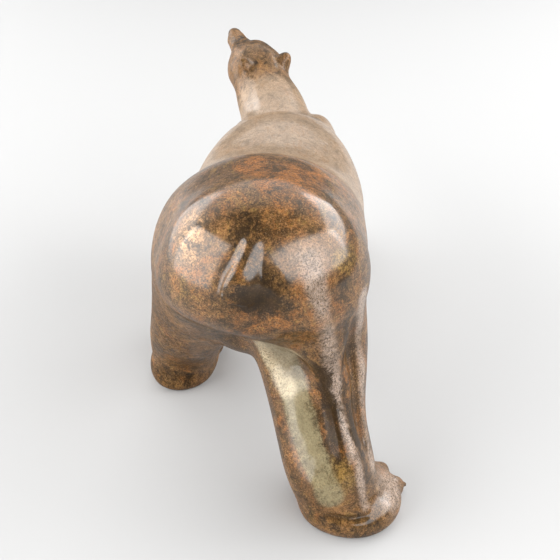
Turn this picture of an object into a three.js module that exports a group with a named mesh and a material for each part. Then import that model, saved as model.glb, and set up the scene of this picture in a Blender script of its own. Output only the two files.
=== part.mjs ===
// Walking polar bear: one cast bronze, standing on the flat soles of its four feet.
// Millimetres. +X is the way the animal walks, +Y its left side, +Z up. The origin is under the middle of the bounding box, on the ground.
import * as THREE from "three";

// ---------------------------------------------------------------- driving dimensions
// A sweep is a row of cross sections: [x, y, z, half width, height above the centre line, height below it].
const TORSO = {
  stations: [
    [-4, -3.4, 133.5, 53.8, 48.5, 29.5], // rump, the highest point of the back
    [32, -3.4, 127, 56, 49.5, 41],
    [64, -4.4, 119, 57, 42, 50],
    [84, -6, 113, 57, 41, 47],
    [106, -8, 108, 56.5, 42, 44], // saddle of the back
    [138, -10, 103, 56, 48, 43],
    [164, -11.5, 100, 53, 49.5, 42], // withers
    [190, -12, 97, 44, 42, 40],
    [214, -12, 98, 31.5, 29, 35], // chest
  ],
  up: [0, 0, 1], capStart: 46, capEnd: 20, power: 2, capPower: 2.6,
};
const NECK = {
  stations: [
    [180, -11, 104, 34, 32, 38],
    [212, -10, 111, 28, 26, 34],
    [242, -7, 121, 25, 23.5, 28],
    [268, 0, 129, 23, 20.5, 21.5],
    [290, 6, 137, 20, 17, 15],
  ],
  up: [0, 0, 1], capStart: 20, capEnd: 10, power: 2,
};
// Legs run from the body down to the ankle; their "height" is the depth towards the head and towards the tail.
const HIND_RIGHT = {
  stations: [
    [8, -20, 124, 23, 34, 46],
    [6, -26, 96, 30.5, 31, 25],
    [-8, -30.5, 66, 28.5, 27, 25],
    [-23, -34, 43, 25, 22, 24.5],
    [-36, -40, 22, 24, 19, 25],
    [-39, -44.5, 10, 22.5, 19, 24],
  ],
  up: [1, 0, 0], capStart: 20, capEnd: 12, power: 2.3,
};
const HIND_LEFT = {
  stations: [
    [26, 25, 120, 29, 34, 40],
    [42, 33.5, 90, 28.5, 32, 34],
    [57, 43, 60, 24.5, 26, 27],
    [74, 49.5, 32, 22.5, 22, 21],
    [81, 53, 12, 20, 20, 20],
  ],
  up: [1, 0, 0], capStart: 20, capEnd: 12, power: 2.3,
};
const FORE_RIGHT = {
  stations: [
    [184, -28, 98, 22, 28, 32],
    [196, -35, 78, 22.5, 25, 28],
    [212, -40, 52, 20.5, 20, 21],
    [226, -42, 28, 18.5, 18, 18],
    [231, -43, 12, 19, 18, 17],
  ],
  up: [1, 0, 0], capStart: 22, capEnd: 12, power: 2.3,
};
const FORE_LEFT = {
  stations: [
    [176, 8, 98, 22, 28, 32],
    [175, 17, 78, 22.5, 24, 27],
    [174, 25, 52, 20.5, 20, 21],
    [178, 29, 28, 18.5, 18, 18],
    [182, 30, 12, 19, 18, 17],
  ],
  up: [1, 0, 0], capStart: 22, capEnd: 12, power: 2.3,
};
const TAIL = {
  stations: [
    [-36, 1.5, 163, 5, 5, 6],
    [-42, 4, 155, 6.5, 4.5, 6],
    [-46.5, 6.5, 147, 8.5, 3.6, 5],
    [-48, 8, 141.5, 8.5, 2.2, 3.5],
  ],
  up: [-1, 0, 0], capStart: 6, capEnd: 3, power: 2.4,
};
// Muscle masses: centre, radii, turn about Z in degrees.
const GROIN = { at: [20, 8, 84], radii: [20, 16, 16], turn: 0 };
const SEAT = { at: [-6, -24, 110], radii: [28, 28, 22], turn: 0 };
const BLADE_RIGHT = { at: [198, -37, 108], radii: [30, 15, 27], turn: -10 };
const BLADE_LEFT = { at: [196, 12, 108], radii: [24, 12, 24], turn: 10 };
// Paws: centre on the ground, turn, half length, half width.
const PAWS = [
  { at: [-39, -50.5], turn: -15, length: 28, width: 28 }, // hind right
  { at: [91, 52.5], turn: -10, length: 33, width: 22 }, // hind left
  { at: [246, -45], turn: -4, length: 28, width: 24 }, // fore right
  { at: [196, 31], turn: 6, length: 28, width: 24 }, // fore left
];
const TOES_PER_PAW = 5;
const TOE_SPREAD = 62; // degrees to each side of the paw's axis
const TOE_RADII = [8.6, 5.6, 7.4];
const TOE_HEIGHT = 6.2;
const PAW_HEIGHT = 21;
const PAW_CENTRE_Z = 6;
const CLAW_ROOT_RADIUS = 2.4, CLAW_TIP_RADIUS = 1.3;
const CLAW_REACH = [6.2, 10.6];
// Head: its own frame sits between the eyes and ears, turned to the left and raised a little.
const HEAD_AT = [292, 7, 142], HEAD_TURN = 22, HEAD_LIFT = 12;
const SKULL = { at: [-3, 0, 1], radii: [25, 19.5, 16.5] };
const JAW = { at: [3, 0, -6], radii: [26, 20.5, 12] };
const MUZZLE = {
  stations: [
    [8, 0, -1, 15, 13, 12],
    [26, 0, -1.6, 11.4, 10.6, 10.6],
    [47, 0, -1.4, 7.8, 7.4, 8.4],
  ],
  up: [0, 0, 1], capStart: 10, capEnd: 8, power: 2,
};
const CHIN = { at: [36, 0, -8.4], radii: [12, 6.4, 4.2] };
const NOSE = { at: [53.4, 0, 2], radii: [4.8, 5, 4] };
const BROW = { at: [15, 8.5, 9], radii: [8, 4.5, 2.8], turn: 20 };
const EYE = { at: [19.6, 11, 7.2], radii: [2.4, 2.2, 1.8] };
const EAR = { at: [-15, 15, 9.5], radii: [5.6, 6, 9.2], roll: -28 };
const EAR_HOLLOW = { at: [-10.6, 17.4, 13], radii: [3.4, 3.6, 6], roll: -28 };
// Worked lines on the skin: points near the surface, half width, depth (minus stands proud), length of the fade at each end.
const FLAT = 1, SOFT = 0;
const LINES = [
  { points: [[-18, -12, 96], [-27, -18, 78], [-41, -26, 52], [-54, -34, 26]], width: 16, depth: 2.4, form: FLAT, fade: 0.26 }, // flat plane down the back of the right hind leg
  { points: [[-38, -30, 120], [-32, -35, 95], [-38, -41, 68]], width: 12, depth: -8.5, form: SOFT, fade: 0.5 }, // muscle that carries the rump down into the leg
  { points: [[-47, -27, 146], [-42, -32, 118], [-34, -37, 92], [-43, -44, 58], [-54, -51, 37], [-60, -56, 20]], width: 6, depth: -2.8, form: SOFT, fade: 0.2 }, // tendon
  { points: [[-30, -46, 128], [-20, -49, 96], [-32, -52, 56], [-48, -58, 22]], width: 4.2, depth: 2.8, form: SOFT, fade: 0.25 }, // groove outside the tendon
  { points: [[-24, 6, 98], [-23, -14, 96], [-22, -32, 94]], width: 9, depth: 2, form: SOFT, fade: 0.4 }, // fold where the leg leaves the rump
  { points: [[-58, -31, 15], [-63, -46, 13.5], [-60, -62, 14]], width: 2.4, depth: 1.5, form: SOFT, fade: 0.3 }, // crease over the right heel
  { points: [[60, 41, 15], [63, 53, 13], [61, 65, 15]], width: 2.4, depth: 1.2, form: SOFT, fade: 0.3 }, // crease over the left heel
  { points: [[-50, 5, 136], [-51, -9, 133]], width: 7.5, depth: 3.4, form: SOFT, fade: 0.5 }, // hollow under the tail
  { points: [[-46, 18, 130], [-49, 4, 127], [-47, -12, 122]], width: 8, depth: 1.8, form: SOFT, fade: 0.5 },
];
// How softly each mass runs into the body.
const BLEND = { neck: 22, hindRight: 28, hindLeft: 34, groin: 16, seat: 22, bladeRight: 18, bladeLeft: 13, foreLeg: 20, paw: 9, head: 14, tail: 3 };
const SOLE_EDGE = 2.5;
// Facets: the small step is used on curved forms, BLOCK of them together where the skin runs nearly flat.
const STEP = 3.35, BLOCK = 3, FLATNESS_DEG = 26;
const BOUNDS = { low: [-82.5, -96.6, -8.4], high: [366, 96, 204] };

// ---------------------------------------------------------------- smooth curves
// Natural cubic spline through the rows; with flatEnds the slope is zero at both ends.
function spline(t, rows, q, flatEnds) {
  const n = t.length, m = rows[0].length;
  const h = t.slice(1).map((v, i) => v - t[i]);
  const A = rows.map(() => new Array(n).fill(0)), B = rows.map(() => new Array(m).fill(0));
  A[0][0] = A[n - 1][n - 1] = 1;
  if (flatEnds) {
    A[0][0] = 2 * h[0]; A[0][1] = h[0];
    A[n - 1][n - 1] = 2 * h[n - 2]; A[n - 1][n - 2] = h[n - 2];
    for (let k = 0; k < m; k++) {
      B[0][k] = (3 * (rows[1][k] - rows[0][k])) / h[0];
      B[n - 1][k] = (-3 * (rows[n - 1][k] - rows[n - 2][k])) / h[n - 2];
    }
  }
  for (let i = 1; i < n - 1; i++) {
    A[i][i - 1] = h[i - 1]; A[i][i] = 2 * (h[i - 1] + h[i]); A[i][i + 1] = h[i];
    for (let k = 0; k < m; k++) B[i][k] = 3 * ((rows[i + 1][k] - rows[i][k]) / h[i] - (rows[i][k] - rows[i - 1][k]) / h[i - 1]);
  }
  for (let i = 1; i < n; i++) {
    const r = A[i][i - 1] / A[i - 1][i - 1];
    A[i][i] -= r * A[i - 1][i]; A[i][i - 1] = 0;
    for (let k = 0; k < m; k++) B[i][k] -= r * B[i - 1][k];
  }
  const c = rows.map(() => new Array(m).fill(0));
  for (let i = n - 1; i >= 0; i--)
    for (let k = 0; k < m; k++) c[i][k] = (B[i][k] - (i < n - 1 ? A[i][i + 1] * c[i + 1][k] : 0)) / A[i][i];
  return q.map((v) => {
    let i = 0;
    while (i < n - 2 && v >= t[i + 1]) i++;
    const d = v - t[i];
    return rows[i].map((y, k) => {
      const b = (rows[i + 1][k] - y) / h[i] - (h[i] * (2 * c[i][k] + c[i + 1][k])) / 3;
      return y + b * d + c[i][k] * d * d + ((c[i + 1][k] - c[i][k]) / (3 * h[i])) * d * d * d;
    });
  });
}
function chordLength(rows) {
  const t = [0];
  for (let i = 1; i < rows.length; i++)
    t.push(t[i - 1] + Math.hypot(rows[i][0] - rows[i - 1][0], rows[i][1] - rows[i - 1][1], rows[i][2] - rows[i - 1][2]));
  return t;
}
const evenly = (last, count) => Array.from({ length: count }, (_, i) => (last * i) / (count - 1));
const dot = (a, b) => a[0] * b[0] + a[1] * b[1] + a[2] * b[2];
const cross = (a, b) => [a[1] * b[2] - a[2] * b[1], a[2] * b[0] - a[0] * b[2], a[0] * b[1] - a[1] * b[0]];
const unit = (a) => { const l = Math.hypot(a[0], a[1], a[2]); return [a[0] / l, a[1] / l, a[2] / l]; };
// Rows of the matrix that takes a point into a frame rolled, pitched and turned by these degrees.
function turned(roll, pitch, turn) {
  const m = new THREE.Matrix4().makeRotationFromEuler(
    new THREE.Euler(THREE.MathUtils.degToRad(roll), THREE.MathUtils.degToRad(pitch), THREE.MathUtils.degToRad(turn), "ZYX"));
  const e = m.elements;
  return [[e[0], e[1], e[2]], [e[4], e[5], e[6]], [e[8], e[9], e[10]]];
}
// The two ways masses meet: smooth join and smooth cut.
function join(a, b, k) {
  const h = Math.max(k - Math.abs(a - b), 0) / k;
  return Math.min(a, b) - (h * h * h * k) / 6;
}
const cut = (a, b, k) => -join(-a, -b, k);

// ---------------------------------------------------------------- forms: each gives the distance from its skin, minus inside
const SAMPLES = 64;
class Sweep {
  constructor(spec) {
    const rows = spec.stations, t = chordLength(rows), q = evenly(t[t.length - 1], SAMPLES);
    const centre = spline(t, rows.map((r) => r.slice(0, 3)), q, false);
    const size = spline(t, rows.map((r) => r.slice(3)), q, true);
    this.rows = centre.map((c, i) => {
      const a = centre[Math.max(i - 1, 0)], b = centre[Math.min(i + 1, SAMPLES - 1)];
      const along = unit([b[0] - a[0], b[1] - a[1], b[2] - a[2]]);
      const d = dot(spec.up, along);
      const up = unit([spec.up[0] - d * along[0], spec.up[1] - d * along[1], spec.up[2] - d * along[2]]);
      return [...c, ...up, ...cross(along, up), ...along, ...size[i]];
    });
    let length = 0;
    for (let i = 1; i < SAMPLES; i++) length += Math.hypot(...centre[i].map((v, k) => v - centre[i - 1][k]));
    this.spacing = length / (SAMPLES - 1);
    this.capStart = spec.capStart; this.capEnd = spec.capEnd; this.power = spec.power;
    this.capExponent = (spec.capPower || spec.power) / spec.power;
    const reach = Math.max(spec.capStart, spec.capEnd, ...size.map((s) => Math.max(...s)));
    this.low = [0, 1, 2].map((k) => Math.min(...centre.map((c) => c[k])) - reach);
    this.high = [0, 1, 2].map((k) => Math.max(...centre.map((c) => c[k])) + reach);
    this.mixed = new Float64Array(15);
  }
  distance(x, y, z) {
    const R = this.rows;
    let best = 0, least = Infinity;
    for (let i = 0; i < SAMPLES; i++) {
      const r = R[i], e = (x - r[0]) ** 2 + (y - r[1]) ** 2 + (z - r[2]) ** 2;
      if (e < least) { least = e; best = i; }
    }
    const r = R[best];
    const s = best + ((x - r[0]) * r[9] + (y - r[1]) * r[10] + (z - r[2]) * r[11]) / this.spacing;
    const s0 = Math.min(Math.max(s, 0), SAMPLES - 1), j = Math.min(Math.floor(s0), SAMPLES - 2), g = s0 - j;
    const a = R[j], b = R[j + 1], M = this.mixed;
    for (let k = 0; k < 15; k++) M[k] = a[k] * (1 - g) + b[k] * g;
    const dx = x - M[0], dy = y - M[1], dz = z - M[2];
    const u = dx * M[3] + dy * M[4] + dz * M[5], v = dx * M[6] + dy * M[7] + dz * M[8], w = dx * M[9] + dy * M[10] + dz * M[11];
    const width = M[12], mean = (M[13] + M[14]) / 2, height = mean + ((M[13] - M[14]) / 2) * Math.tanh(u / (0.6 * mean));
    const first = s < 0, last = s > SAMPLES - 1, cap = first ? this.capStart : this.capEnd;
    const C = Math.abs(first ? Math.min(w, 0) : last ? Math.max(w, 0) : 0) / cap;
    const p = this.power, X = Math.abs(v) / width, Y = Math.abs(u) / height;
    const Z = C ** this.capExponent, slope = (this.capExponent * C ** (this.capExponent - 1)) / cap;
    const k0 = Math.max((X ** p + Y ** p + Z ** p) ** (1 / p), 0.05);
    if (k0 <= 0.05) return -Math.min(width, height) * 0.95;
    const e = p - 1;
    const k1 = Math.hypot((X / k0) ** e / width, (Y / k0) ** e / height, (Z / k0) ** e * slope);
    return (k0 - 1) / Math.max(k1, 1e-6);
  }
}
class Ellipsoid {
  constructor(at, radii, roll = 0, turn = 0) {
    this.at = at; this.radii = radii; this.frame = turned(roll, 0, turn);
    const reach = [0, 1, 2].map((k) => Math.hypot(...this.frame.map((f, i) => f[k] * radii[i])));
    this.low = at.map((v, k) => v - reach[k]); this.high = at.map((v, k) => v + reach[k]);
  }
  distance(x, y, z) {
    const f = this.frame, r = this.radii, d = [x - this.at[0], y - this.at[1], z - this.at[2]];
    const a = dot(f[0], d) / r[0], b = dot(f[1], d) / r[1], c = dot(f[2], d) / r[2];
    const k0 = Math.hypot(a, b, c);
    if (k0 < 0.05) return -Math.min(...r) * 0.95;
    return (k0 * (k0 - 1)) / Math.hypot(a / r[0], b / r[1], c / r[2]);
  }
}
class Taper {
  constructor(a, b, ra, rb) {
    this.a = a; this.d = [b[0] - a[0], b[1] - a[1], b[2] - a[2]]; this.ra = ra; this.rb = rb; this.l2 = dot(this.d, this.d);
  }
  distance(x, y, z) {
    const q = [x - this.a[0], y - this.a[1], z - this.a[2]];
    const t = Math.min(Math.max(dot(q, this.d) / this.l2, 0), 1);
    return Math.hypot(q[0] - t * this.d[0], q[1] - t * this.d[1], q[2] - t * this.d[2]) - (this.ra + (this.rb - this.ra) * t);
  }
}
class Line {
  constructor(spec) {
    const t = chordLength(spec.points), n = 24;
    this.points = spec.points.length > 2 ? spline(t, spec.points, evenly(t[t.length - 1], n), false)
      : evenly(1, n).map((g) => spec.points[0].map((v, k) => v + (spec.points[1][k] - v) * g));
    this.n = n; this.spec = spec;
    this.reach = spec.width * (spec.form === FLAT ? 1 : 2.4) + 1;
    this.low = [0, 1, 2].map((k) => Math.min(...this.points.map((p) => p[k])) - this.reach);
    this.high = [0, 1, 2].map((k) => Math.max(...this.points.map((p) => p[k])) + this.reach);
  }
  offset(x, y, z) {
    const L = this.low, H = this.high;
    if (x < L[0] || y < L[1] || z < L[2] || x > H[0] || y > H[1] || z > H[2]) return 0;
    let best = Infinity, along = 0;
    for (let i = 0; i < this.n - 1; i++) {
      const a = this.points[i], b = this.points[i + 1];
      const d = [b[0] - a[0], b[1] - a[1], b[2] - a[2]], q = [x - a[0], y - a[1], z - a[2]];
      const t = Math.min(Math.max(dot(q, d) / dot(d, d), 0), 1);
      const e = Math.hypot(q[0] - t * d[0], q[1] - t * d[1], q[2] - t * d[2]);
      if (e < best) { best = e; along = (i + t) / (this.n - 1); }
    }
    const { width, depth, form, fade } = this.spec;
    let f = Math.min(Math.max(Math.min(along, 1 - along) / fade, 0), 1);
    f = f * f * (3 - 2 * f);
    const r2 = (best / width) ** 2;
    return depth * f * (form === FLAT ? Math.max(1 - r2, 0) : Math.exp(-r2));
  }
}
// A form's distance near it, or the distance from its box when the point is too far off to matter.
function near(form, x, y, z, margin) {
  const ex = Math.max(form.low[0] - x, x - form.high[0], 0), ey = Math.max(form.low[1] - y, y - form.high[1], 0), ez = Math.max(form.low[2] - z, z - form.high[2], 0);
  if (ex < margin && ey < margin && ez < margin) return form.distance(x, y, z);
  return Math.hypot(ex, ey, ez);
}
// A paw: low pad, toes on an arc around its front, a claw on each toe.
class Paw {
  constructor(spec) {
    this.at = [spec.at[0], spec.at[1], 0]; this.frame = turned(0, 0, spec.turn);
    this.pad = new Ellipsoid([0, 0, PAW_CENTRE_Z], [spec.length, spec.width, PAW_HEIGHT - PAW_CENTRE_Z]);
    this.toes = []; this.claws = [];
    const half = (TOES_PER_PAW - 1) / 2;
    for (let i = 0; i < TOES_PER_PAW; i++) {
      const degrees = ((i - half) / half) * TOE_SPREAD, a = THREE.MathUtils.degToRad(degrees), b = a * 0.62;
      const o = [(spec.length - 5.5) * Math.cos(a), (spec.width - 4.5) * Math.sin(a), TOE_HEIGHT];
      this.toes.push(new Ellipsoid(o, TOE_RADII, 0, degrees * 0.62));
      const out = (r, dz) => [o[0] + r * Math.cos(b), o[1] + r * Math.sin(b), o[2] + dz];
      this.claws.push(new Taper(out(CLAW_REACH[0], 0.6), out(CLAW_REACH[1], -2.8), CLAW_ROOT_RADIUS, CLAW_TIP_RADIUS));
    }
    const reach = Math.max(spec.length, spec.width) + 14;
    this.low = [this.at[0] - reach, this.at[1] - reach, -12]; this.high = [this.at[0] + reach, this.at[1] + reach, 24];
  }
  distance(X, Y, Z) {
    const d = [X - this.at[0], Y - this.at[1], Z - this.at[2]], f = this.frame;
    const x = dot(f[0], d), y = dot(f[1], d), z = dot(f[2], d);
    let toe = 1e3, claw = 1e3;
    for (const t of this.toes) toe = join(toe, t.distance(x, y, z), 1.2);
    for (const c of this.claws) claw = Math.min(claw, c.distance(x, y, z));
    return join(join(this.pad.distance(x, y, z), toe, 3.5), claw, 1);
  }
}
const sided = (spec) => [1, -1].map((s) => new Ellipsoid([spec.at[0], s * spec.at[1], spec.at[2]], spec.radii, s * (spec.roll || 0), -s * (spec.turn || 0)));
class Head {
  constructor() {
    this.frame = turned(0, -HEAD_LIFT, HEAD_TURN);
    this.skull = new Ellipsoid(SKULL.at, SKULL.radii); this.jaw = new Ellipsoid(JAW.at, JAW.radii);
    this.muzzle = new Sweep(MUZZLE); this.chin = new Ellipsoid(CHIN.at, CHIN.radii); this.nose = new Ellipsoid(NOSE.at, NOSE.radii);
    this.brows = sided(BROW); this.eyes = sided(EYE); this.ears = sided(EAR); this.hollows = sided(EAR_HOLLOW);
    this.low = HEAD_AT.map((v) => v - 72); this.high = HEAD_AT.map((v) => v + 72);
  }
  distance(X, Y, Z) {
    const d = [X - HEAD_AT[0], Y - HEAD_AT[1], Z - HEAD_AT[2]], f = this.frame;
    const x = dot(f[0], d), y = dot(f[1], d), z = dot(f[2], d);
    let s = join(this.skull.distance(x, y, z), this.jaw.distance(x, y, z), 10);
    s = join(s, this.muzzle.distance(x, y, z), 12);
    s = join(s, this.chin.distance(x, y, z), 5);
    for (const b of this.brows) s = join(s, near(b, x, y, z, 8), 7);
    for (const e of this.eyes) s = join(s, near(e, x, y, z, 6), 1);
    this.ears.forEach((e, i) => {
      s = join(s, near(e, x, y, z, 10), 3);
      s = cut(s, -near(this.hollows[i], x, y, z, 10), 1.8);
    });
    return join(s, near(this.nose, x, y, z, 8), 4.5);
  }
}

// ---------------------------------------------------------------- the animal as one skin
const mass = (m) => new Ellipsoid(m.at, m.radii, 0, m.turn);
const torso = new Sweep(TORSO);
const joined = [
  [new Sweep(NECK), BLEND.neck], [new Sweep(HIND_RIGHT), BLEND.hindRight], [new Sweep(HIND_LEFT), BLEND.hindLeft],
  [mass(GROIN), BLEND.groin], [mass(SEAT), BLEND.seat], [mass(BLADE_RIGHT), BLEND.bladeRight], [mass(BLADE_LEFT), BLEND.bladeLeft],
  [new Sweep(FORE_RIGHT), BLEND.foreLeg], [new Sweep(FORE_LEFT), BLEND.foreLeg],
  ...PAWS.map((p) => [new Paw(p), BLEND.paw]), [new Head(), BLEND.head], [new Sweep(TAIL), BLEND.tail],
];
const lines = LINES.map((l) => new Line(l));
function skin(x, y, z) {
  let s = near(torso, x, y, z, 40);
  for (const [form, k] of joined) s = join(s, near(form, x, y, z, k + 4), k);
  for (const l of lines) s += l.offset(x, y, z);
  return cut(s, -z, SOLE_EDGE);
}
function slopeAt(p) {
  const e = 0.05;
  return [
    (skin(p[0] + e, p[1], p[2]) - skin(p[0] - e, p[1], p[2])) / (2 * e),
    (skin(p[0], p[1] + e, p[2]) - skin(p[0], p[1] - e, p[2])) / (2 * e),
    (skin(p[0], p[1], p[2] + e) - skin(p[0], p[1], p[2] - e)) / (2 * e),
  ];
}
// Moves a point onto the skin along the slope.
function ontoSkin(p) {
  let q = p.slice();
  for (let i = 0; i < 6; i++) {
    const s = skin(...q);
    if (Math.abs(s) < 1e-4) break;
    const g = slopeAt(q), l2 = Math.max(dot(g, g), 0.2);
    const step = Math.min(Math.max(s, -1.5), 1.5) / l2;
    q = [q[0] - g[0] * step, q[1] - g[1] * step, q[2] - g[2] * step];
  }
  return q;
}

// ---------------------------------------------------------------- facets
// The cell's edges and faces, by corner: bit 0 is x, bit 1 is y, bit 2 is z.
const CELL_EDGES = [[0, 1], [2, 3], [4, 5], [6, 7], [0, 2], [1, 3], [4, 6], [5, 7], [0, 4], [1, 5], [2, 6], [3, 7]];
const CELL_FACES = [[0, 1, 3, 2], [4, 5, 7, 6], [0, 1, 5, 4], [2, 3, 7, 6], [0, 2, 6, 4], [1, 3, 7, 5]];
const EDGE_OF = new Map(CELL_EDGES.flatMap(([a, b], e) => [[a * 8 + b, e], [b * 8 + a, e]]));

function facets() {
  const count = [0, 1, 2].map((k) => Math.ceil((BOUNDS.high[k] - BOUNDS.low[k]) / STEP) + 1);
  const [nx, ny, nz] = count;
  const at = (k, i) => BOUNDS.low[k] + i * STEP;
  const field = new Float32Array(nx * ny * nz).fill(NaN);
  const id = (i, j, k) => (i * ny + j) * nz + k;
  // Far from the skin one value serves a whole neighbourhood.
  const B = 4, reach = STEP * B;
  for (let i = 0; i < nx; i += B) for (let j = 0; j < ny; j += B) for (let k = 0; k < nz; k += B) {
    const c = skin(at(0, i) + reach / 2, at(1, j) + reach / 2, at(2, k) + reach / 2);
    const far = Math.abs(c) > reach * 1.6;
    for (let a = i; a < Math.min(i + B, nx); a++) for (let b = j; b < Math.min(j + B, ny); b++) for (let d = k; d < Math.min(k + B, nz); d++)
      field[id(a, b, d)] = far ? c : skin(at(0, a), at(1, b), at(2, d));
  }
  // One vertex for every sheet of skin that passes through a small cell.
  const cells = new Map(), vertices = [], where = [];
  for (let i = 0; i < nx - 1; i++) for (let j = 0; j < ny - 1; j++) for (let k = 0; k < nz - 1; k++) {
    let inside = 0;
    const v = [];
    for (let m = 0; m < 8; m++) { const f = field[id(i + (m & 1), j + ((m >> 1) & 1), k + ((m >> 2) & 1))]; v.push(f); if (f < 0) inside++; }
    if (inside === 0 || inside === 8) continue;
    const sheet = CELL_EDGES.map((_, e) => e);
    const unite = (a, b) => { const from = sheet[a], to = sheet[b]; sheet.forEach((s, e) => { if (s === from) sheet[e] = to; }); };
    for (const face of CELL_FACES) {
      const edges = face.map((c, n) => EDGE_OF.get(c * 8 + face[(n + 1) % 4]));
      const crossed = edges.filter((e) => v[CELL_EDGES[e][0]] < 0 !== v[CELL_EDGES[e][1]] < 0);
      if (crossed.length === 2) unite(crossed[0], crossed[1]);
      if (crossed.length === 4) {
        const s = v[face[0]] < 0 ? 0 : 1;
        unite(edges[(s + 3) % 4], edges[s]); unite(edges[(s + 1) % 4], edges[s + 2 > 3 ? 3 : s + 2]);
      }
    }
    const made = new Map(), own = new Int32Array(12).fill(-1);
    CELL_EDGES.forEach(([a, b], e) => {
      if (v[a] < 0 === v[b] < 0) return;
      if (!made.has(sheet[e])) made.set(sheet[e], { n: 0, sum: [0, 0, 0], at: vertices.length + made.size });
      const m = made.get(sheet[e]), t = v[a] / (v[a] - v[b]);
      for (let c = 0; c < 3; c++) m.sum[c] += ((a >> c) & 1) + (((b >> c) & 1) - ((a >> c) & 1)) * t;
      m.n++; own[e] = m.at;
    });
    for (const m of made.values()) {
      vertices.push([at(0, i) + (m.sum[0] / m.n) * STEP, at(1, j) + (m.sum[1] / m.n) * STEP, at(2, k) + (m.sum[2] / m.n) * STEP]);
      where.push([i, j, k]);
    }
    cells.set(id(i, j, k), own);
  }
  // Small cells are gathered into blocks where the skin turns little inside the block.
  const normals = vertices.map((p) => unit(slopeAt(p)));
  const blocks = new Map();
  where.forEach((w, n) => {
    const key = w.map((c) => Math.floor(c / BLOCK)).join();
    if (!blocks.has(key)) blocks.set(key, []);
    blocks.get(key).push(n);
  });
  const limit = Math.cos(THREE.MathUtils.degToRad(FLATNESS_DEG));
  const flat = new Map();
  for (const [key, members] of blocks) {
    const mean = unit(members.reduce((s, n) => s.map((v, c) => v + normals[n][c]), [0, 0, 0]));
    flat.set(key, members.length > 1 && members.every((n) => dot(normals[n], mean) > limit));
  }
  // A four-sided facet across every grid edge that crosses the skin.
  const quads = [];
  for (let i = 1; i < nx - 1; i++) for (let j = 1; j < ny - 1; j++) for (let k = 1; k < nz - 1; k++) {
    const here = field[id(i, j, k)] < 0;
    for (let axis = 0; axis < 3; axis++) {
      const n = [i, j, k]; n[axis]++;
      if (here === field[id(...n)] < 0) continue;
      const [u, v] = [(axis + 1) % 3, (axis + 2) % 3];
      const corner = (du, dv) => {
        const c = [i, j, k]; c[u] += du; c[v] += dv;
        const low = (du ? 1 << u : 0) + (dv ? 1 << v : 0);
        return cells.get(id(...c))[EDGE_OF.get(low * 8 + low + (1 << axis))];
      };
      const q = [corner(-1, -1), corner(0, -1), corner(0, 0), corner(-1, 0)];
      quads.push(here ? q : q.reverse());
    }
  }
  // Where gathering would pinch the skin, the block is taken apart again.
  for (let round = 0; ; round++) {
    const group = new Int32Array(vertices.length), merged = [], blockOf = [];
    for (const [key, members] of blocks)
      for (const set of flat.get(key) ? [members] : members.map((n) => [n])) {
        for (const n of set) group[n] = merged.length;
        merged.push([0, 1, 2].map((c) => set.reduce((s, n) => s + vertices[n][c], 0) / set.length));
        blockOf.push(key);
      }
    const triangles = [];
    const put = (a, b, c) => { a = group[a]; b = group[b]; c = group[c]; if (a !== b && b !== c && c !== a) triangles.push([a, b, c]); };
    const length2 = (a, b) => merged[group[a]].reduce((s, v, c) => s + (v - merged[group[b]][c]) ** 2, 0);
    for (const q of quads) {
      if (length2(q[0], q[2]) <= length2(q[1], q[3])) { put(q[0], q[1], q[2]); put(q[0], q[2], q[3]); }
      else { put(q[1], q[2], q[3]); put(q[1], q[3], q[0]); }
    }
    const uses = new Map();
    for (const t of triangles) for (let e = 0; e < 3; e++) { const key = t[e] * 1e6 + t[(e + 1) % 3]; uses.set(key, (uses.get(key) || 0) + 1); }
    let pinched = 0;
    for (const [key, n] of uses) if (n > 1) for (const v of [Math.floor(key / 1e6), key % 1e6]) if (flat.get(blockOf[v])) { flat.set(blockOf[v], false); pinched++; }
    if (pinched && round < 8) continue;
    const settled = merged.map(ontoSkin);
    for (const p of settled) if (Math.abs(p[2]) < 0.05) p[2] = 0;
    return { merged: settled, triangles: outerSkin(triangles, settled.length) };
  }
}
// The largest connected skin; a speck closed off inside the metal is left out.
function outerSkin(triangles, count) {
  const parent = Array.from({ length: count }, (_, i) => i);
  const find = (a) => { while (parent[a] !== a) { parent[a] = parent[parent[a]]; a = parent[a]; } return a; };
  for (const [a, b, c] of triangles) { parent[find(a)] = find(b); parent[find(b)] = find(c); }
  const size = new Map();
  for (const [a] of triangles) size.set(find(a), (size.get(find(a)) || 0) + 1);
  const largest = [...size].reduce((m, e) => (e[1] > m[1] ? e : m))[0];
  return triangles.filter(([a]) => find(a) === largest);
}

const { merged, triangles } = facets();
// The origin moves under the middle of the bounding box.
const box = new THREE.Box3().setFromPoints(triangles.flat().map((n) => new THREE.Vector3(...merged[n])));
const middle = box.getCenter(new THREE.Vector3());
const positions = new Float32Array(merged.flatMap((p) => [p[0] - middle.x, p[1] - middle.y, p[2] - box.min.z]));
const geometry = new THREE.BufferGeometry();
geometry.setAttribute("position", new THREE.BufferAttribute(positions, 3));
geometry.setIndex(triangles.flat());
geometry.computeVertexNormals();

const bronze = new THREE.MeshStandardMaterial({ color: 0x6b4423, metalness: 0.6, roughness: 0.4 });
const bear = new THREE.Mesh(geometry, bronze);
bear.name = "polar_bear";
const root = new THREE.Group();
root.name = "polar_bear_sculpture";
root.add(bear);
export default root;
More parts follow.
